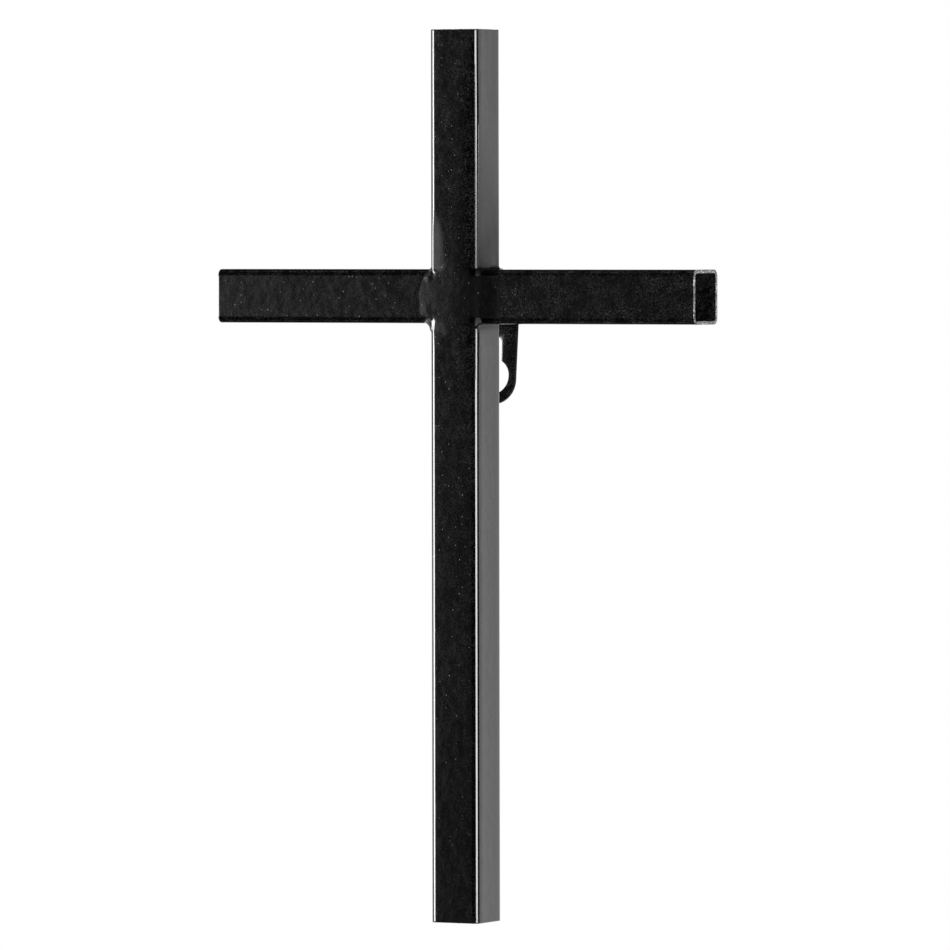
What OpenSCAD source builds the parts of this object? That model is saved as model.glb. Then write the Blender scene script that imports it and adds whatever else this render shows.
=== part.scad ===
// Grave cross welded from square steel tube, with a keyhole hanger on its back.
// Frame: origin at the centre of the round hole, on the hanger's wall side.
// +Z up, the cross faces -Y, and the wall or stone that it hangs on lies towards +Y.

/* [Tube] */
// Outside width of the square tube
tube_w = 30; // [20:1:50]
// Wall thickness of the tube
tube_wall = 2; // [1:0.5:4]
// Outside radius of the tube's long corners
corner_r = 4; // [2:0.5:6]

/* [Cross] */
// Length of the post
post_len = 500; // [400:1:800]
// Length of each arm, from the post's side to its open end
arm_len = 135; // [80:0.5:250]
// Height of the post above the arms
top_len = 134.5; // [60:0.5:250]

/* [Hanger] */
// Height of the arms' centre line above the centre of the hanging hole
arm_rise = 45.3; // [30:0.1:90]
// Distance from the post's back to the hanging hole, on the wall side
stand_off = 21; // [16:0.5:40]
// Width of the hanger strap
strap_w = 27.5; // [24:0.5:32]
// Thickness of the hanger strap
strap_t = 3; // [2:0.5:4]
// Inside radius of the strap's bend
bend_r = 3; // [2:0.5:5]
// Tilt of the whole strap, which brings its lower end towards the post, in degrees
strap_tilt = 5.8; // [0:0.1:8]
// Height of the strap's welded leg above the centre of the hanging hole
leg_rise = 45; // [38:1:60]
// Diameter of the round hole, which a screw head passes through
hole_d = 20; // [14:0.5:21]
// Width of the slot, which the screw's shank slides up
slot_w = 10; // [5:0.5:10]
// Distance from the hole's centre to the centre of the slot's round end
slot_rise = 18; // [16:0.5:24]
// How far the centre of the strap's round end lies below the hole's centre
toe_drop = 2; // [0:0.5:5]

/* [Welds] */
// Radius of the beads that fill the grooves in front of and behind the arms
bead_r = 3.4; // [2.5:0.1:5]
// How far these beads stand proud of the tubes' faces
bead_proud = 1; // [0.5:0.1:2]
// How far the beads' centres lie from the arm's end, into the post's corner
bead_in = 1; // [0:0.1:2]
// Radius of the fillets above and below the arms and the hanger's leg
fillet_r = 3; // [2:0.1:5]

/* [Hidden] */
$fn = 96;
half = tube_w / 2;
bore_w = tube_w - 2 * tube_wall;
bore_r = max(corner_r - tube_wall, 0.5);
post_y = -(stand_off + half);          // the post's axis, in front of the wall side of the strap
post_top = arm_rise + half + top_len;
leg_top = leg_rise + strap_t / 2;
bend_out = bend_r + strap_t;
bend_z = leg_top - bend_out;
toe_len = toe_drop + strap_w / 2;      // from the hole's centre down to the strap's lowest point
seat_w = 2 * min(half - corner_r, half - bead_in - bead_r); // flat of the post's back between the beads
far = 200;                             // longer than any part of the hanger

paint = [0.02, 0.02, 0.022];

// Square with rounded corners, centred
module rounded_square(w, r) {
    square([w - 2 * r, w], center = true);
    square([w, w - 2 * r], center = true);
    for (x = [-1, 1], y = [-1, 1])
        translate([x * (w / 2 - r), y * (w / 2 - r)]) circle(r);
}

// Solid of the tube's outside, from z = 0 upwards
module tube_outside(length) {
    linear_extrude(length) rounded_square(tube_w, corner_r);
}

// Square tube, from z = 0 upwards
module tube(length) {
    linear_extrude(length) difference() {
        rounded_square(tube_w, corner_r);
        rounded_square(bore_w, bore_r);
    }
}

module at_post() {
    translate([0, post_y, post_top - post_len]) children();
}

// An arm's place: from the post's side outwards, side is -1 or 1
module at_arm(side) {
    translate([side * half, post_y, arm_rise]) rotate([0, side * 90, 0]) children();
}

module post() {
    color(paint) at_post() tube(post_len);
}

module arm(side) {
    color(paint) at_arm(side) tube(arm_len);
}

// Weld round the root of an arm: a bead in the groove at the front and at the back,
// and a fillet above and below
module arm_weld(side) {
    bead_y = half + bead_proud - bead_r;
    color(paint) difference() {
        translate([0, post_y, arm_rise]) {
            for (face = [-1, 1])
                translate([side * (half - bead_in), face * bead_y, 0])
                    cylinder(r = bead_r, h = tube_w, center = true);
            for (edge = [-1, 1])
                translate([side * half, 0, edge * half])
                    rotate([90, 0, 0]) cylinder(r = fillet_r, h = tube_w, center = true);
        }
        at_post() tube_outside(post_len);
        at_arm(side) tube_outside(arm_len);
        strap();
    }
}

// The leaf's outline seen from the front: straight sides, round lower end and keyhole
module leaf_outline() {
    difference() {
        union() {
            translate([0, -toe_drop]) circle(d = strap_w);
            translate([-strap_w / 2, -toe_drop]) square([strap_w, toe_drop + bend_z]);
        }
        circle(d = hole_d);
        translate([0, slot_rise]) circle(d = slot_w);
        translate([-slot_w / 2, 0]) square([slot_w, slot_rise]);
    }
}

// Side view of the bend and the leg
module leg_profile() {
    translate([-bend_out, bend_z]) intersection() {
        difference() {
            circle(bend_out);
            circle(bend_r);
        }
        square(bend_out);
    }
    translate([-far, leg_top - strap_t]) square([far - bend_out, strap_t]);
}

// The whole strap, tilted about the hole's centre and cut off where it meets the post's back
module strap() {
    difference() {
        rotate([-strap_tilt, 0, 0]) {
            rotate([90, 0, 0]) linear_extrude(strap_t) leaf_outline();
            translate([-strap_w / 2, 0, 0]) rotate([90, 0, 90])
                linear_extrude(strap_w) leg_profile();
        }
        translate([-far, -stand_off - 2 * far, -far]) cube(2 * far);
    }
}

module hanger() {
    color(paint) strap();
}

// Height at which a level of the tilted leg meets the post's back
function leg_at_post(level) = (level + stand_off * sin(strap_tilt)) / cos(strap_tilt);

// Fillet along the hanger's leg, edge is 1 above it and -1 below it
module leg_weld(edge) {
    color(paint) difference() {
        translate([-seat_w / 2, -stand_off, leg_at_post(leg_rise + edge * strap_t / 2)])
            rotate([0, 90, 0]) cylinder(r = fillet_r, h = seat_w);
        at_post() tube_outside(post_len);
        rotate([-strap_tilt, 0, 0])
            translate([-far / 2, -far / 2, leg_rise + edge * strap_t / 2 - (edge > 0 ? far : 0)]) cube(far);
    }
}

post();
arm(-1);  // arm_left
arm(1);  // arm_right
arm_weld(-1);  // weld_left
arm_weld(1);  // weld_right
hanger();
leg_weld(1);  // hanger_weld_upper
leg_weld(-1);  // hanger_weld_lower
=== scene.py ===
import math

import bmesh
import bpy
from mathutils import Matrix, Vector, noise


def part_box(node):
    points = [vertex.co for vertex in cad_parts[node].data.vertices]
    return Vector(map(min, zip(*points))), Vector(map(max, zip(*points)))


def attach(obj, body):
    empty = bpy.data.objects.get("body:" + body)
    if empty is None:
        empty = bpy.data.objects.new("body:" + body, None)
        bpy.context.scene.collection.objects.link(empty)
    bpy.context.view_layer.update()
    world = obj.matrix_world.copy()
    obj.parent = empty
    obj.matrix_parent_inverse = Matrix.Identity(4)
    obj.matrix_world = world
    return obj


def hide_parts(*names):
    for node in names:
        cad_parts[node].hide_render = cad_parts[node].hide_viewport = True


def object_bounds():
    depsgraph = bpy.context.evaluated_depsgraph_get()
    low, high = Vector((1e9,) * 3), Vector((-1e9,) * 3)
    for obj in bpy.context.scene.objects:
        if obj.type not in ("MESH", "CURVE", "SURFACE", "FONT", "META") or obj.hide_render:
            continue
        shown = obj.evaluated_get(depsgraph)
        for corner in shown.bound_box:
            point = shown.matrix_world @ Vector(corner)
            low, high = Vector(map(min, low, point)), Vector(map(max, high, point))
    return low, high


# A grave cross welded from square tube, painted gloss black, with a keyhole strap behind it.
# Z is up, the front faces -Y and the wall that it hangs on lies towards +Y.

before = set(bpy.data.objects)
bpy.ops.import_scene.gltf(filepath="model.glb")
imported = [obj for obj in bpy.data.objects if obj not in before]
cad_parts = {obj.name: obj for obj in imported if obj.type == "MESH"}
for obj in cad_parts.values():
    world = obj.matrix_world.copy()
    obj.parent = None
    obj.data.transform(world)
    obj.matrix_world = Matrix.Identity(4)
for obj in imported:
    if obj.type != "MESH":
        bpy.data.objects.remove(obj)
cadLow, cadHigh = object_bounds()
middle = (cadLow + cadHigh) / 2
mm = 0.001
xAxis = 0
yAxis = 1
zAxis = 2


# ---- camera ----

camera = {
    "azimuth": 27.53,  # degrees, from straight in front towards the right arm
    "elevation": 1.51,
    "distance": 5.36,
    "lens": 361.78,
    "roll": 0.098,
    "aimRight": -0.27 * mm,  # from the middle of the object's box
    "aimUp": 0.28 * mm,
}


def towards(azimuth, elevation):
    # the direction seen from the object, azimuth 0 in front and 90 at its right
    a = math.radians(azimuth)
    e = math.radians(elevation)
    return Vector((math.sin(a) * math.cos(e), -math.cos(a) * math.cos(e), math.sin(e)))


def addCamera():
    back = towards(camera["azimuth"], camera["elevation"])
    right = towards(camera["azimuth"] + 90, 0)
    up = back.cross(right)
    aim = middle + right * camera["aimRight"] + up * camera["aimUp"]
    data = bpy.data.cameras.new("camera")
    data.lens = camera["lens"]
    data.clip_start = 0.1
    data.clip_end = 60
    made = bpy.data.objects.new("camera", data)
    bpy.context.scene.collection.objects.link(made)
    turn = (-back).to_track_quat("-Z", "Y").to_matrix().to_4x4()
    roll = Matrix.Rotation(math.radians(-camera["roll"]), 4, "Z")
    made.matrix_world = Matrix.Translation(aim + back * camera["distance"]) @ turn @ roll
    bpy.context.scene.camera = made


addCamera()
print("camera placed")


# ---- shader maths ----

class Value:
    # one socket of a node tree, so that sums on it read as plain maths

    def __init__(self, tree, socket=None):
        self.tree = tree
        self.socket = socket

    def node(self, kind, settings, inputs, output=0):
        # any node: its settings first, then the values or links of its sockets
        made = self.tree.nodes.new(kind)
        for name, setting in settings.items():
            setattr(made, name, setting)
        for name, given in inputs.items():
            if isinstance(given, Value):
                self.tree.links.new(given.socket, made.inputs[name])
            else:
                made.inputs[name].default_value = given
        return Value(self.tree, made.outputs[output] if len(made.outputs) else None)

    def maths(self, operation, *terms):
        return self.node("ShaderNodeMath", {"operation": operation}, dict(enumerate(terms)))

    def __add__(self, other):
        return self.maths("ADD", self, other)

    def __radd__(self, other):
        return self.maths("ADD", other, self)

    def __sub__(self, other):
        return self.maths("SUBTRACT", self, other)

    def __rsub__(self, other):
        return self.maths("SUBTRACT", other, self)

    def __mul__(self, other):
        return self.maths("MULTIPLY", self, other)

    def __rmul__(self, other):
        return self.maths("MULTIPLY", other, self)

    def __pow__(self, other):
        return self.maths("POWER", self, other)

    def smooth(self, start, end):
        # 0 below start and 1 above end, with a soft rise; start may be the larger
        settings = {"interpolation_type": "SMOOTHSTEP"}
        if start > end:
            return 1 - self.smooth(end, start)
        inputs = {"Value": self, "From Min": start, "From Max": end}
        return self.node("ShaderNodeMapRange", settings, inputs)

    def most(self, other):
        return self.maths("MAXIMUM", self, other)

    def least(self, other):
        return self.maths("MINIMUM", self, other)

    def part(self, name):
        return self.node("ShaderNodeSeparateXYZ", {}, {"Vector": self}, name)

    def noise(self, scale, detail=2, roughness=0.5, distortion=0):
        inputs = {
            "Vector": self,
            "Scale": scale,
            "Detail": detail,
            "Roughness": roughness,
            "Distortion": distortion,
        }
        return self.node("ShaderNodeTexNoise", {}, inputs)

    def stretched(self, x, y, z):
        return self.node("ShaderNodeMapping", {}, {"Vector": self, "Scale": (x, y, z)})


def grey(level):
    return (level, level, level, 1)


# ---- studio: world, lamps and floor ----

studio = {
    "backdrop": 0.96,  # what the gloss sees behind the object
    "backdropFall": 2.8,  # how fast it dims upwards
    "backdropTilt": (0.75, 0.35),  # height of the view's direction, dark and full
    "frontDark": 0.01,  # what the gloss sees in front of it
    "glowAzimuth": -45,  # the soft light round the left lamp
    "glowLow": 0.06,
    "glowLowEdge": (22.8, 18.2),  # degrees from its azimuth, dark and full
    "glowLowTilt": (0.4, 0.14),
    "glowHigh": 1.2,
    "glowHighEdge": (17.6, 11),
    "glowHighTilt": (0.24, 0.08),
    "patch": 0.34,  # a brighter strip of the backdrop
    "patchAzimuth": 150.6,
    "patchEdge": (2.4, 0.5),
    "backdropEdge": (86, 76),  # degrees from the backdrop's middle, dark and full
    "ambient": 0.3,
    "leftLamp": {"azimuth": -51, "distance": 4, "width": 1.85, "height": 1.05, "radiance": 22},
    "rightLamp": {"azimuth": 69.5, "distance": 4, "width": 3.1, "height": 1.05, "radiance": 15},
    "lampDrop": 0.08,  # how far the lamps' middles lie below the object's
    "topLamp": {"height": 2.0, "size": 1.6, "radiance": 5},
    "floorDrop": 0.55,  # from the object's lowest point
    "floorRadius": 1.7,
    "floorGrey": 0.86,
    "floorFade": (0.35, 0.97),  # shares of its radius between which it turns white
}


def lightWorld():
    world = bpy.data.worlds.new("studio")
    bpy.context.scene.world = world
    world.use_nodes = True
    tree = world.node_tree
    tree.nodes.clear()
    start = Value(tree)
    direction = start.node("ShaderNodeTexCoord", {}, {}, "Generated")
    level = direction.part("Z")
    across = (1 - level * level).most(0.0001) ** 0.5

    def around(azimuth, edges):
        # 1 near an azimuth and 0 beyond the outer of two angles from it
        aim = towards(azimuth, 0)
        pair = {0: direction, 1: aim}
        facing = direction.node("ShaderNodeVectorMath", {"operation": "DOT_PRODUCT"}, pair, "Value")
        dark, full = (math.cos(math.radians(angle)) for angle in edges)
        return facing.maths("DIVIDE", facing, across).smooth(dark, full)

    behind = around(camera["azimuth"] + 180, studio["backdropEdge"]) * studio["backdrop"]
    behind = behind * (1 - level * studio["backdropFall"]).most(0)
    tilt = level.maths("ABSOLUTE", level)
    low = around(studio["glowAzimuth"], studio["glowLowEdge"]) * studio["glowLow"]
    high = around(studio["glowAzimuth"], studio["glowHighEdge"]) * studio["glowHigh"]
    behind = behind + around(studio["patchAzimuth"], studio["patchEdge"]) * studio["patch"]
    seen = studio["frontDark"] + behind * tilt.smooth(*studio["backdropTilt"])
    seen = seen + low * tilt.smooth(*studio["glowLowTilt"]) + high * tilt.smooth(*studio["glowHighTilt"])
    path = start.node("ShaderNodeLightPath", {}, {}, "Is Camera Ray")
    shiny = Value(tree, path.socket.node.outputs["Is Glossy Ray"])
    clear = Value(tree, path.socket.node.outputs["Is Transmission Ray"])
    mirrored = shiny.most(clear)
    strength = studio["ambient"] * (1 - mirrored) + seen * mirrored
    strength = strength * (1 - path) + path
    light = start.node("ShaderNodeBackground", {}, {"Color": grey(1), "Strength": strength})
    start.node("ShaderNodeOutputWorld", {}, {"Surface": light})


def addLamp(name, place, facing, width, height, radiance):
    data = bpy.data.lights.new(name, "AREA")
    data.shape = "RECTANGLE"
    data.size = width
    data.size_y = height
    data.energy = radiance * math.pi * width * height
    made = bpy.data.objects.new(name, data)
    made.matrix_world = Matrix.Translation(place) @ facing.to_track_quat("-Z", "Y").to_matrix().to_4x4()
    made.visible_camera = False
    bpy.context.scene.collection.objects.link(made)
    return made


def addSideLamp(name):
    lamp = studio[name]
    outwards = towards(lamp["azimuth"], 0)
    place = middle + outwards * lamp["distance"] - Vector((0, 0, studio["lampDrop"]))
    addLamp(name, place, -outwards, lamp["width"], lamp["height"], lamp["radiance"])


def addFloor():
    bm = bmesh.new()
    bmesh.ops.create_circle(bm, cap_ends=True, segments=96, radius=studio["floorRadius"])
    bmesh.ops.translate(bm, vec=(middle.x, middle.y, cadLow.z - studio["floorDrop"]), verts=bm.verts)
    mesh = bpy.data.meshes.new("floor")
    bm.to_mesh(mesh)
    bm.free()
    floor = bpy.data.objects.new("floor", mesh)
    bpy.context.scene.collection.objects.link(floor)
    material = bpy.data.materials.new("paleFloor")
    material.use_nodes = True
    tree = material.node_tree
    tree.nodes.clear()
    start = Value(tree)
    spot = start.node("ShaderNodeTexCoord", {}, {}, "Object")
    flat = spot.stretched(1, 1, 0)
    radius = spot.node("ShaderNodeVectorMath", {"operation": "LENGTH"}, {0: flat}, "Value")
    inner, outer = (share * studio["floorRadius"] for share in studio["floorFade"])
    fade = radius.smooth(inner, outer)
    paint = start.node("ShaderNodeBsdfDiffuse", {}, {"Color": grey(studio["floorGrey"])})
    white = start.node("ShaderNodeEmission", {}, {"Color": grey(1), "Strength": 1})
    both = start.node("ShaderNodeMixShader", {}, {0: fade, 1: paint, 2: white})
    start.node("ShaderNodeOutputMaterial", {}, {"Surface": both})
    floor.data.materials.append(material)
    floor.visible_glossy = False


lightWorld()
addSideLamp("leftLamp")
addSideLamp("rightLamp")
top = studio["topLamp"]
overhead = addLamp("topLamp", middle + Vector((0, 0, top["height"])), Vector((0, 0, -1)),
                   top["size"], top["size"], top["radiance"])
overhead.visible_glossy = False
addFloor()
print("studio lit")


# ---- finishes ----

gloss = {
    "base": 0.00105,  # linear grey of the black paint
    "roughness": 0.08,
    "cutBase": 0.036,  # grey of the sawn rims, where the paint is thin
    "cutRoughness": 0.4,
    "ior": 1.55,
    "grainShade": (0.05, 7),  # how the finest grain varies the grey
    "grainSize": 0.8 * mm,
    "grainDepth": 0.0012 * mm,
    "peelSize": 1.6 * mm,  # orange peel
    "peelDepth": 0.008 * mm,
    "broadScale": 28,  # the slowest swells of the film, per metre
    "broadDepth": 0.09,  # mm
    "patchScale": 120,
    "sagSize": 5 * mm,  # slow unevenness of the film
    "sagDepth": 0.045 * mm,
    "speckSize": 2.1 * mm,  # spacing of the dust specks
    "speckReach": (0.08, 0.2),  # the least radius and how much more, as shares of the spacing
    "speckChosen": (0.6, 0.75),  # only cells whose number is past these hold a speck
    "speckDepth": 0.02 * mm,
    "speckShade": 0.007,
    "wispSize": 11 * mm,  # thin curved wipe marks
    "wispThin": 70,  # higher is thinner
    "wispPatchScale": 55,
    "wispPatch": (0.53, 0.66),  # where the marks fade in over a slow noise
    "wispShade": 0.006,
    "grainGreyByHeight": (-0.3, 0.1),  # the grain turns greyer with height between these, in metres
    "grainGreyToRight": (-0.02, 0.04),
    "dryShadeFrom": 13.4 * mm,  # the dry spray and the painted shade on the post's sides, from its middle plane
    "dryShadeRise": 1.2 * mm,
    "dryShadeEnd": (19 * mm, 16 * mm),  # where it is gone and still full
    "dryShadeInset": (2 * mm, 4 * mm),  # from the arms' top and underside, left clear in between
    "dryShadeAbove": 100 * mm,
    "dryShadeBelow": 8 * mm,
    "dryRoughness": 0.46,
    "dryPaintedShade": 0.35,  # painted shade: how much darker the grey is made there, beside the arms
    "rootPatchDark": 0.9,  # how much darker the grey is made on a patch over the right arm's root
    "rootPatchFrom": (-2 * mm, 8 * mm),  # where that patch starts and is full
    "rootPatchTo": (32 * mm, 23 * mm),  # where it ends and is still full
    "rootPatchHeight": (18 * mm, 14 * mm),  # from the arms' middle
}

armLow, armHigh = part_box("arm_left")


def dryAndShadeShare(spot):
    # where the spray went on dry and where painted shade darkens the grey: the post's sides, fading
    # upwards and downwards from the arms
    side = spot.part("X")
    side = side.maths("ABSOLUTE", side)
    rising = side.smooth(gloss["dryShadeFrom"], gloss["dryShadeFrom"] + gloss["dryShadeRise"])
    side = rising * side.smooth(*gloss["dryShadeEnd"])
    height = spot.part("Z")
    above = height.smooth(armHigh.z + gloss["dryShadeAbove"], armHigh.z)
    below = height.smooth(armLow.z - gloss["dryShadeBelow"], armLow.z)
    start, full = gloss["dryShadeInset"]
    under = height.smooth(armHigh.z - start, armHigh.z - full)
    over = height.smooth(armLow.z + start, armLow.z + full)
    return side * above * below * (1 - under * over)


def rootPatchShare(spot):
    # the patch over the right arm's root where the grey is made darker
    across = spot.part("X")
    height = spot.part("Z") - (armLow.z + armHigh.z) / 2
    height = height.maths("ABSOLUTE", height).smooth(*gloss["rootPatchHeight"])
    return across.smooth(*gloss["rootPatchFrom"]) * across.smooth(*gloss["rootPatchTo"]) * height


def painted(name, base, roughness, peel=1.0, specks=1.0, mottle=1.0, wisps=1.0, shine=0.5):
    # sprayed black paint: uneven film, orange peel, fine grain, dust specks under the paint and wipe
    # marks, with painted shade on the post's sides beside the arms and a darker patch over the right arm's
    # root
    material = bpy.data.materials.new(name)
    material.use_nodes = True
    tree = material.node_tree
    tree.nodes.clear()
    start = Value(tree)
    spot = start.node("ShaderNodeTexCoord", {}, {}, "Object")
    broad = spot.noise(gloss["broadScale"], 3, 0.55)
    patch = spot.noise(gloss["patchScale"], 2, 0.5)
    sag = spot.noise(1 / gloss["sagSize"], 2, 0.4)
    orange = spot.noise(1 / gloss["peelSize"], 2, 0.45)
    grain = spot.noise(1 / gloss["grainSize"], 2, 0.6)
    spacing = {"Vector": spot, "Scale": 1 / gloss["speckSize"]}
    cells = spot.node("ShaderNodeTexVoronoi", {"feature": "F1"}, spacing)
    choice = Value(tree, cells.socket.node.outputs["Color"])
    chosen = choice.node("ShaderNodeSeparateColor", {}, {"Color": choice}, "Red")
    size = choice.node("ShaderNodeSeparateColor", {}, {"Color": choice}, "Green")
    least, more = gloss["speckReach"]
    reach = least + size * size * size * more
    speck = (1 - cells.maths("DIVIDE", cells, reach)).most(0) * chosen.smooth(*gloss["speckChosen"])
    speck = speck.least(0.5) * 2 * specks
    line = spot.noise(1 / gloss["wispSize"], 1, 0.4, 1.2) - 0.5
    wisp = (1 - line.maths("ABSOLUTE", line) * gloss["wispThin"]).most(0)
    wisp = wisp * spot.noise(gloss["wispPatchScale"], 1, 0.5).smooth(*gloss["wispPatch"])
    wisp = wisp * wisps * grain.smooth(0.38, 0.55)
    film = (broad - 0.5) * 0.7 + (patch - 0.5) * 0.4
    least, span = gloss["grainShade"]
    # the grain is made greyer higher up and towards the right
    grainGreyness = 0.5 + spot.part("Z").smooth(*gloss["grainGreyByHeight"])
    grainGreyness = grainGreyness + spot.part("X").smooth(*gloss["grainGreyToRight"]) * 0.5
    grainGreyness = grainGreyness * (0.6 + patch.smooth(0.35, 0.65) * 0.8)
    shade = base * (1 + film * mottle) * (least + grain.smooth(0.4, 0.72) * span * grainGreyness)
    shade = shade + speck * gloss["speckShade"] + wisp * gloss["wispShade"]
    rough = roughness * (1 + film * 0.5 * mottle + (grain - 0.5) * 0.4) + speck * 0.15
    # the dry-spray mask roughens the paint, and as painted shade it darkens the grey on the post's sides
    # beside the arms
    dryAndShade = dryAndShadeShare(spot) * (1 + film)
    rough = rough + dryAndShade * gloss["dryRoughness"]
    shade = shade * (1 - dryAndShade * gloss["dryPaintedShade"]) * (1 - rootPatchShare(spot) * gloss["rootPatchDark"])
    colour = shade.node("ShaderNodeCombineColor", {}, {"Red": shade, "Green": shade, "Blue": shade * 1.01})
    height = (
        orange * gloss["peelDepth"] * peel
        + grain * gloss["grainDepth"] * peel
        + sag * gloss["sagDepth"] * mottle
        + speck * gloss["speckDepth"]
        + broad * gloss["broadDepth"] * mm
    )
    bump = height.node("ShaderNodeBump", {}, {"Strength": 1, "Distance": 1, "Height": height})
    inputs = {
        "Base Color": colour,
        "Roughness": rough,
        "Normal": bump,
        "IOR": gloss["ior"],
        "Specular IOR Level": shine,
    }
    skin = start.node("ShaderNodeBsdfPrincipled", {}, inputs)
    start.node("ShaderNodeOutputMaterial", {}, {"Surface": skin})
    return material


tubePaint = painted("blackGlossPaint", gloss["base"], gloss["roughness"])
weldPaint = painted("paintedWeld", gloss["base"] * 1.1, gloss["roughness"] * 1.1, peel=1.3, mottle=1.3)
# painted light: the strap gets the black paint made 2.4 times lighter, brightening it where it lies behind
# the post and under the arm
strapPaintWithPaintedLight = painted("paintedStrap", gloss["base"] * 2.4, gloss["roughness"] * 1.5, peel=1.3, specks=0.6)
strapEdgePaint = painted("paintedStrapEdge", gloss["base"], gloss["roughness"] * 4, peel=1.6, shine=0.02)
cutPaint = painted("paintedCutEdge", gloss["cutBase"], gloss["cutRoughness"],
                   peel=6.0, specks=2.0, mottle=1.6, wisps=0)
borePaint = painted("paintedBore", gloss["base"] * 3, gloss["roughness"] * 4,
                    peel=6.0, specks=6.0, mottle=1.8)
print("finishes mixed")


# ---- square tubes ----

tube = {
    "wall": 2 * mm,
    "cornerRadius": {"post": 3.5 * mm, "arm_left": 4 * mm, "arm_right": 4 * mm},
    "armSwell": {"arm_left": (0, 0.45 * mm), "arm_right": (0.28 * mm, 0.28 * mm)},  # underside and top
    "cornerSegments": 14,
    "edgeLoop": 0.3 * mm,  # a loop this far inside each flat keeps the corner's shine narrow
    "flatStep": 1.5 * mm,
    "lengthStep": 4 * mm,
    "fineStep": 0.8 * mm,
    "fineEnd": 6 * mm,
    "crown": 0.02 * mm,  # how far the flats fall away at their edges
    "sideCrown": 0.16 * mm,  # the same on the post's sides
    "sinkFrom": 3.5 * mm,  # the post's front falls away to the right of this near the joint
    "sinkTo": 11 * mm,
    "sink": 0.19 * mm,
    "sinkAbove": (80 * mm, 130 * mm),  # where this fades out above the arms
    "sinkBelow": 50 * mm,
    "wave": 0.03 * mm,
    "waveLength": 60 * mm,
    "rimRound": 0.22 * mm,
    "rimSegments": 3,
    "rimDepth": 0.6 * mm,  # how far in from an end its rim and burrs reach
    "burr": 0.12 * mm,
    "burrSize": 1.4 * mm,
}

postLow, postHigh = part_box("post")
half = (postHigh.x - postLow.x) / 2
crossZ = (armLow.z + armHigh.z) / 2
frontY = postLow.y
backY = postHigh.y

dressing = {  # where the grinder took down the post's front left corner, above the arm
    "edge": 2.4 * mm,  # from the post's side
    "width": 9 * mm,
    "depth": 0.3 * mm,
    "power": 1.8,
    "from": 14 * mm,  # above the arms' top
    "to": 52 * mm,
    "lowDepth": 0.12 * mm,  # the lighter pass just below the arm
    "lowTo": 16 * mm,
}


def finishMesh(bm, name, materials):
    mesh = bpy.data.meshes.new(name)
    bm.to_mesh(mesh)
    bm.free()
    for material in materials:
        mesh.materials.append(material)
    mesh.shade_smooth()
    mesh.set_sharp_from_angle(angle=math.radians(40))
    made = bpy.data.objects.new(name, mesh)
    bpy.context.scene.collection.objects.link(made)
    return made


def cutAcross(bm, axis, places):
    normal = Vector((0, 0, 0))
    normal[axis] = 1
    for place in places:
        geometry = bm.verts[:] + bm.edges[:] + bm.faces[:]
        bmesh.ops.bisect_plane(bm, geom=geometry, dist=1e-6, plane_co=normal * place, plane_no=normal)


def steps(start, end, step):
    # evenly spaced places from start to end, both included
    count = max(1, round((end - start) / step))
    return [start + (end - start) * i / count for i in range(count + 1)]


def ease(value, start, end):
    share = min(1, max(0, (value - start) / (end - start)))
    return share * share * (3 - 2 * share)


def dress(bm, lift):
    # grinds the post's front left corner to a shallow curve that runs out upwards and downwards;
    # lift gives the height that a surface keeps over the tube's own face there
    top = armHigh.z
    bottom = armLow.z
    edge = postLow.x + dressing["edge"]
    for v in bm.verts:
        if v.co.x < postLow.x - 1e-5 or v.co.y > frontY + 3 * mm:
            continue
        sink = max(0, v.co.x - tube["sinkFrom"]) / (tube["sinkTo"] - tube["sinkFrom"])
        if v.co.z > crossZ:
            near = 1 - ease(v.co.z, top + tube["sinkAbove"][0], top + tube["sinkAbove"][1])
        else:
            near = ease(v.co.z, bottom - tube["sinkBelow"], bottom)
        if v.co.x < postHigh.x + 1e-5 and abs(v.co.z - crossZ) > half:
            v.co.y += tube["sink"] * near * min(1.6, sink * sink)
        if v.co.z > crossZ:
            depth = dressing["depth"]
            share = 1 - ease(v.co.z, top + dressing["from"], top + dressing["to"])
            share *= ease(v.co.z, top - 3 * mm, top + 1 * mm)
        else:
            depth = dressing["lowDepth"]
            share = ease(v.co.z, bottom - dressing["lowTo"], bottom - 4 * mm)
            share *= 1 - ease(v.co.z, bottom - 1 * mm, bottom + 3 * mm)
        into = edge + dressing["width"] * share - v.co.x
        if share > 0 and into > 0:
            ground = depth * (into / dressing["width"]) ** dressing["power"]
            v.co.y = max(v.co.y, frontY + ground - lift(v.co.x, v.co.z))


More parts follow.
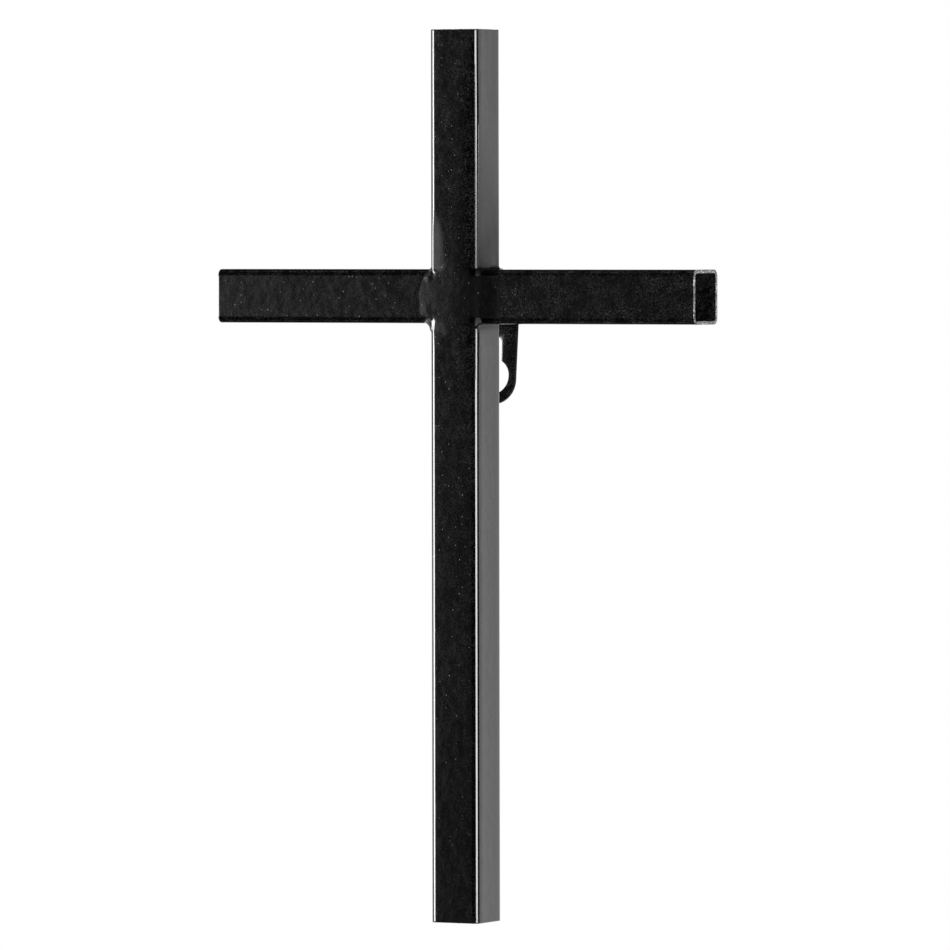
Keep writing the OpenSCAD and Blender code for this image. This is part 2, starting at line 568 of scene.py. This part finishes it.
def squareTube(node, axis, fineZone, name):
    low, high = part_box(node)
    radius = tube["cornerRadius"][node]
    if node != "post":
        low.z -= tube["armSwell"][node][0]
        high.z += tube["armSwell"][node][1]
    bm = bmesh.new()
    bmesh.ops.create_cube(bm, size=1)
    bmesh.ops.scale(bm, vec=high - low, verts=bm.verts)
    bmesh.ops.translate(bm, vec=(low + high) / 2, verts=bm.verts)
    corners = [e for e in bm.edges if abs((e.verts[0].co - e.verts[1].co)[axis]) > 1 * mm]
    bmesh.ops.bevel(bm, geom=corners, offset=radius, segments=tube["cornerSegments"],
                    profile=0.5, affect="EDGES", material=-1)
    ends = [f for f in bm.faces if abs(f.normal[axis]) > 0.9]
    bmesh.ops.delete(bm, geom=ends, context="FACES_ONLY")
    places = steps(low[axis], high[axis], tube["lengthStep"])[1:-1]
    places += steps(low[axis], low[axis] + tube["fineEnd"], tube["fineStep"])[1:]
    places += steps(high[axis] - tube["fineEnd"], high[axis], tube["fineStep"])[:-1]
    if fineZone:
        places += steps(fineZone[0], fineZone[1], tube["fineStep"])
    cutAcross(bm, axis, places)
    flatInset = radius + tube["edgeLoop"]
    others = [a for a in (xAxis, yAxis, zAxis) if a != axis]
    for other in others:
        cutAcross(bm, other, steps(low[other] + flatInset, high[other] - flatInset, tube["flatStep"]))
    bm.normal_update()
    centre = (low + high) / 2
    flatHalf = half - radius
    for v in bm.verts:
        a, b = (abs(v.co[other] - centre[other]) for other in others)
        share = min(1, min(a, b) / flatHalf)
        ripple = 0.5 + 0.5 * noise.noise(v.co / tube["waveLength"])
        crown = tube["sideCrown"] if node == "post" and abs(v.normal.x) > 0.9 else tube["crown"]
        v.co -= v.normal * (crown * share ** 4 + tube["wave"] * ripple)
    if node == "post":
        dress(bm, lambda x, z: 0)
    bmesh.ops.recalc_face_normals(bm, faces=bm.faces)
    bmesh.ops.solidify(bm, geom=bm.faces[:], thickness=tube["wall"])
    bm.normal_update()
    finishRims(bm, axis, low, high)
    markFaces(bm, axis, low, high, others)
    return finishMesh(bm, name, [tubePaint, cutPaint, borePaint])


def finishRims(bm, axis, low, high):
    # rounds the sawn rims and leaves small burrs on them
    rims = []
    for e in bm.edges:
        if len(e.link_faces) != 2:
            continue
        place = e.verts[0].co[axis]
        atEnd = min(abs(place - low[axis]), abs(place - high[axis])) < 0.2 * mm
        across = [abs(f.normal[axis]) > 0.7 for f in e.link_faces]
        if atEnd and across[0] != across[1]:
            rims.append(e)
    bmesh.ops.bevel(bm, geom=rims, offset=tube["rimRound"], segments=tube["rimSegments"],
                    profile=0.5, affect="EDGES", material=-1)
    for v in bm.verts:
        for end, inwards in ((low, 1), (high, -1)):
            depth = (v.co[axis] - end[axis]) * inwards
            if depth < tube["rimDepth"]:
                rough = 0.5 + 0.5 * noise.noise(v.co / tube["burrSize"])
                fine = 0.5 + 0.5 * noise.noise(v.co / tube["burrSize"] * 2.7 + Vector((5, 5, 5)))
                uneven = rough * 0.7 + fine * 0.3
                v.co[axis] += inwards * tube["burr"] * uneven * (1 - depth / tube["rimDepth"])


def markFaces(bm, axis, low, high, others):
    # 0 the outside, 1 the sawn rims, 2 the bore
    centre = (low + high) / 2
    inside = half - tube["wall"] / 2
    for f in bm.faces:
        place = f.calc_center_median()
        nearEnd = min(place[axis] - low[axis], high[axis] - place[axis]) < tube["rimDepth"]
        if nearEnd and abs(f.normal[axis]) > 0.25:
            f.material_index = 1
        elif max(abs(place[other] - centre[other]) for other in others) < inside:
            f.material_index = 2


postTube = squareTube("post", zAxis, (armLow.z - 4 * mm, armHigh.z + 30 * mm), "postTube")
armLeftTube = squareTube("arm_left", xAxis, None, "armLeftTube")
armRightTube = squareTube("arm_right", xAxis, None, "armRightTube")
for piece, node in ((postTube, "post"), (armLeftTube, "arm_left"), (armRightTube, "arm_right")):
    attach(piece, "root")
    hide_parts(node)
print("tubes made")


# ---- welds at the arms ----

weld = {
    "voxel": 0.5 * mm,
    "under": 0.06 * mm,  # how far the weld's skin lies below the tubes where no bead stands up
    "thickness": 0.6 * mm,
    "postMargin": 12 * mm,  # how far the skin reaches above and below the arm
    "armMargin": 17 * mm,
    "smoothing": 14,  # passes
    "cap": {  # the low bead over the whole front of the crossing
        "x": -2 * mm,
        "z": -1 * mm,
        "left": 19 * mm,
        "height": 20 * mm,
        "proud": 0.22 * mm,
        "deepest": 0.25 * mm,  # how far below the tubes' faces it runs out
        "bend": 8 * mm,  # to the right it bends down over this width
        "lean": 0.006,  # and then falls at this slope
        "curlFrom": 16 * mm,
        "curl": 1.0,  # how fast that slope grows past there
        "lumps": (  # place from the crossing's middle, reach and height
            (-15.6, 11.2, 3.2, 4, 0.13),
            (-17.5, -9, 5, 6, 0.03),
            (-14.5, -12.5, 4, 3, 0.08),
            (-6, 6, 9, 6, -0.02),
            (5, -6, 8, 7, -0.03),
        ),
    },
    "swell": 0.16 * mm,  # how far the joint's line stands up all round
    "swellReach": 5 * mm,
    "backBeads": 8,
    "backBeadStep": 3.2 * mm,
    "backBeadSize": (3.6, 2.4, 2.8),  # mm
    "fillets": {  # legs along the arm and the post at the front, at the back, and how deep they run
        (-1, -1): ((3.0, 4.6), (2.0, 2.2), 30),  # left arm, below
        (-1, 1): ((1.0, 1.0), (1.2, 1.2), 30),
        (1, -1): ((4.4, 2.4), (0.3, 0.3), 4),
        (1, 1): ((0.6, 0.5), (0.4, 0.3), 30),
    },
    "filletRound": ((0.1, 1.2), (0.4, 0.6), (1.0, 0.15), (1.8, 0)),  # setback from the face, trim of legs
    "topBeads": ((5, 2.2), (19, 2.6), (23, 2.8), (27, 2.2)),  # right arm: depth behind the face, length
}


def roundBar(bm, low, high, axis, radius):
    # a solid bar with the tubes' rounded corners, slightly under their size
    made = bmesh.ops.create_cube(bm, size=1)["verts"]
    bmesh.ops.scale(bm, vec=high - low, verts=made)
    bmesh.ops.translate(bm, vec=(low + high) / 2, verts=made)
    edges = {e for v in made for e in v.link_edges}
    corners = [e for e in edges if abs((e.verts[0].co - e.verts[1].co)[axis]) > 1 * mm]
    bmesh.ops.bevel(bm, geom=corners, offset=radius, segments=tube["cornerSegments"],
                    profile=0.5, affect="EDGES", material=-1)


def filletWedge(bm, side, edge, setback, trim):
    # a closed wedge with a hollow face, in the inside corner between an arm and the post
    front, back, run = weld["fillets"][side, edge]
    start = Vector((side * half, frontY + setback * mm, crossZ + edge * half))
    outline = [(1 - math.cos(a), 1 - math.sin(a)) for a in steps(0, math.pi / 2, math.pi / 16)]
    outline += [(1, -0.3), (-0.3, -0.3), (-0.3, 1)]
    legs = [max(0.2, leg - trim) * mm for leg in front]
    ring = [bm.verts.new(start + Vector((side * u * legs[0], 0, edge * w * legs[1]))) for u, w in outline]
    extruded = bmesh.ops.extrude_face_region(bm, geom=[bm.faces.new(ring)])["geom"]
    far = [v for v in extruded if isinstance(v, bmesh.types.BMVert)]
    ratio = [b * mm / leg for b, leg in zip(back, legs)]
    shift = Matrix.Translation(-start)
    bmesh.ops.scale(bm, vec=(ratio[0], 1, ratio[1]), space=shift, verts=far)
    bmesh.ops.translate(bm, vec=(0, (run - setback) * mm, 0), verts=far)


def beadBlob(bm, spot, size):
    made = bmesh.ops.create_icosphere(bm, subdivisions=3, radius=1)["verts"]
    bmesh.ops.scale(bm, vec=size, verts=made)
    bmesh.ops.translate(bm, vec=spot, verts=made)


def remeshed(bm, name):
    mesh = bpy.data.meshes.new(name)
    bm.to_mesh(mesh)
    bm.free()
    rough = bpy.data.objects.new(name, mesh)
    bpy.context.scene.collection.objects.link(rough)
    shell = rough.modifiers.new("join", "REMESH")
    shell.mode = "VOXEL"
    shell.voxel_size = weld["voxel"]
    evaluated = rough.evaluated_get(bpy.context.evaluated_depsgraph_get())
    joined = bmesh.new()
    joined.from_mesh(evaluated.to_mesh())
    bpy.data.objects.remove(rough)
    return joined


def keepSide(bm, place, normal):
    # cuts the mesh at a plane and keeps the side that the normal points to
    geometry = bm.verts[:] + bm.edges[:] + bm.faces[:]
    bmesh.ops.bisect_plane(bm, geom=geometry, dist=1e-7, plane_co=place, plane_no=normal, clear_inner=True)


def capHeight(x, z):
    # height of the front bead over the tubes' faces, running out below them
    cap = weld["cap"]
    across = x - cap["x"]
    if across < 0:
        drop = cap["proud"] * (across / cap["left"]) ** 2
    elif across < cap["bend"]:
        drop = cap["lean"] * across * across / (2 * cap["bend"])
    else:
        drop = cap["lean"] * (across - cap["bend"] / 2)
    drop += cap["curl"] * max(0, x - cap["curlFrom"]) ** 2 / 2
    drop += cap["proud"] * ((z - crossZ - cap["z"]) / cap["height"]) ** 2
    base = max(-cap["deepest"], cap["proud"] - drop)
    for lumpX, lumpZ, wide, tall, height in cap["lumps"]:
        away = ((x / mm - lumpX) / wide) ** 2 + (((z - crossZ) / mm - lumpZ) / tall) ** 2
        base += height * mm * max(0, 1 - away) ** 2
    return base


def dressWeld(bm):
    # raises the front bead and a slight swelling along the joint
    bm.normal_update()
    for v in bm.verts:
        off = v.co.copy()
        depth = v.co.y - frontY
        facing = ease(-v.normal.y, 0.5, 0.98) if depth < 2 * mm else 0
        joint = 1 - ease(abs(abs(v.co.x) - half), 1 * mm, weld["swellReach"])
        joint *= 1 - ease(abs(v.co.z - crossZ), half - 0.5 * mm, half + 1.5 * mm)
        off += v.normal * weld["swell"] * joint * (1 - facing)
        off.y -= facing * (capHeight(v.co.x, v.co.z) + weld["under"])
        v.co = off


def armWeld(side, armNode, node, name):
    under = weld["under"]
    shrink = Vector((under, under, 0))
    top = armHigh.z + weld["postMargin"]
    bottom = armLow.z - weld["postMargin"]
    bm = bmesh.new()
    extra = 4 * mm
    roundBar(bm, Vector((postLow.x, frontY, bottom - extra)) + shrink,
             Vector((postHigh.x, backY, top + extra)) - shrink, zAxis, tube["cornerRadius"]["post"])
    reach = side * (half + weld["armMargin"] + extra)
    shrink = Vector((0, under, under))
    swellLow, swellHigh = tube["armSwell"][armNode]
    roundBar(bm, Vector((min(0, reach), frontY, armLow.z - swellLow)) + shrink,
             Vector((max(0, reach), backY, armHigh.z + swellHigh)) - shrink,
             xAxis, tube["cornerRadius"][armNode])
    for edge in (-1, 1):
        for setback, trim in weld["filletRound"]:
            filletWedge(bm, side, edge, setback, trim)
    for i in range(weld["backBeads"]):
        z = crossZ + (i - (weld["backBeads"] - 1) / 2) * weld["backBeadStep"]
        spot = Vector((side * (half - 0.6 * mm), backY - 1.6 * mm, z))
        beadBlob(bm, spot, Vector(weld["backBeadSize"]) * mm)
    if side > 0:
        for depth, length in weld["topBeads"]:
            spot = Vector((half + 0.1 * mm, frontY + depth * mm, armHigh.z))
            beadBlob(bm, spot, Vector((1.3 * mm, length * mm, 1.1 * mm)))
    joined = remeshed(bm, name)
    for _ in range(weld["smoothing"]):
        bmesh.ops.smooth_vert(joined, verts=joined.verts, factor=0.5,
                              use_axis_x=True, use_axis_y=True, use_axis_z=True)
    dressWeld(joined)
    keepSide(joined, Vector((0, 0, top)), Vector((0, 0, -1)))
    keepSide(joined, Vector((0, 0, bottom)), Vector((0, 0, 1)))
    keepSide(joined, Vector((side * (half + weld["armMargin"]), 0, 0)), Vector((-side, 0, 0)))
    keepSide(joined, Vector((0, 0, 0)), Vector((side, 0, 0)))
    dress(joined, capHeight)
    bmesh.ops.recalc_face_normals(joined, faces=joined.faces)
    bmesh.ops.solidify(joined, geom=joined.faces[:], thickness=weld["thickness"])
    made = finishMesh(joined, name, [weldPaint])
    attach(made, "root")
    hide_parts(node)


armWeld(-1, "arm_left", "weld_left", "weldLeft")
armWeld(1, "arm_right", "weld_right", "weldRight")
print("arm welds laid")


# ---- hanger ----

hanger = {
    "edgeRound": 0.4 * mm,
    "edgeSegments": 3,
    "sharpAngle": 35,  # degrees; edges sharper than this are rounded
    "faceShare": 0.8,  # faces turned further from front and back than this count as edges
}


def makeStrap():
    bm = bmesh.new()
    bm.from_mesh(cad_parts["hanger"].data)
    bmesh.ops.remove_doubles(bm, verts=bm.verts, dist=1e-6)
    bmesh.ops.dissolve_limit(bm, angle_limit=math.radians(1), verts=bm.verts, edges=bm.edges)
    bm.normal_update()
    limit = math.radians(hanger["sharpAngle"])
    sharp = [e for e in bm.edges if len(e.link_faces) == 2 and e.calc_face_angle() > limit]
    bmesh.ops.bevel(bm, geom=sharp, offset=hanger["edgeRound"], segments=hanger["edgeSegments"],
                    profile=0.5, affect="EDGES", material=-1)
    bm.normal_update()
    for face in bm.faces:
        face.material_index = 0 if abs(face.normal.y) > hanger["faceShare"] else 1
    made = finishMesh(bm, "hangerStrap", [strapPaintWithPaintedLight, strapEdgePaint])
    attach(made, "root")
    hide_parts("hanger")


makeStrap()
for node in ("hanger_weld_upper", "hanger_weld_lower"):
    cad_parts[node].data.materials.clear()
    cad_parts[node].data.materials.append(weldPaint)
print("hanger made")


# ---- view transform ----

scene = bpy.context.scene
scene.view_settings.view_transform = "Standard"
